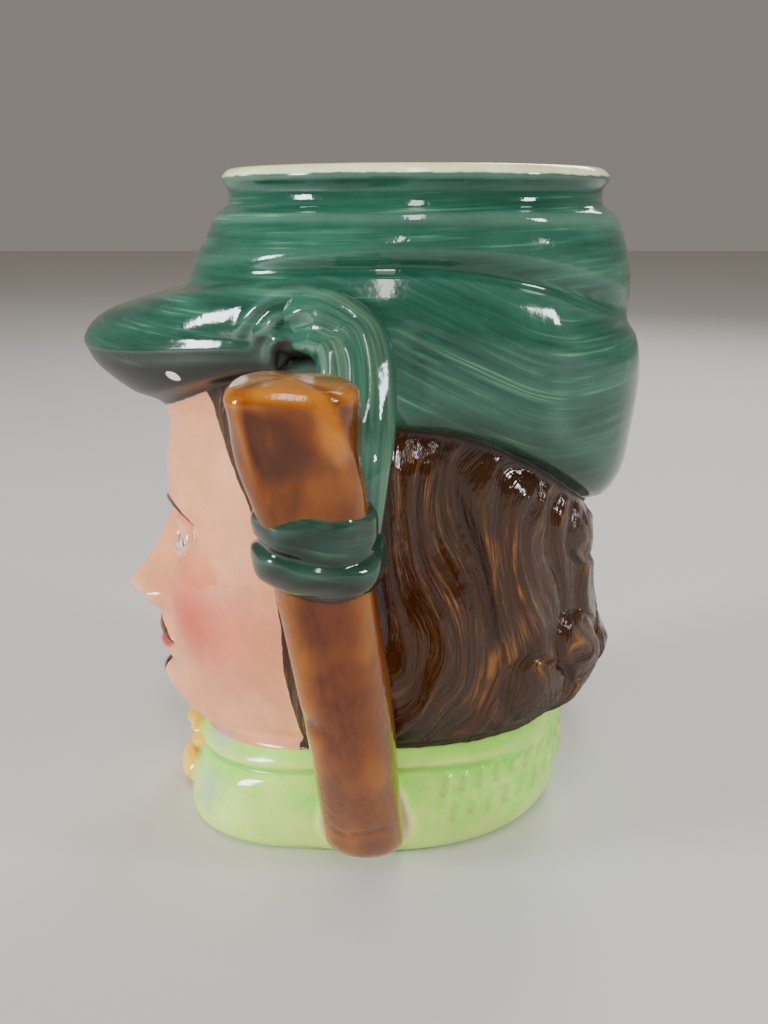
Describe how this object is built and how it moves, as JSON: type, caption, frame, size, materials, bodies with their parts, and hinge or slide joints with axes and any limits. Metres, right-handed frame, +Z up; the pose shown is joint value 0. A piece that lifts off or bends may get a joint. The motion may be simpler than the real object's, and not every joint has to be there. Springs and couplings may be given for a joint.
{
  "type": "toby jug",
  "caption": "Hollow glazed earthenware jug in the form of a head in a brimmed cap, open at the top, with a leaning log for a handle.",
  "frame": {"origin": "middle of the flat underside, on the upright axis of the head", "axes": "+Z up out of the mouth, -Y the way the face looks, +X towards the handle"},
  "size_m": [0.129, 0.1199, 0.144],
  "materials": {
    "glaze": "hand-painted under a clear gloss glaze"
  },
  "bodies": {
    "root": {"toby_jug": "glaze"}
  },
  "joints": []
}
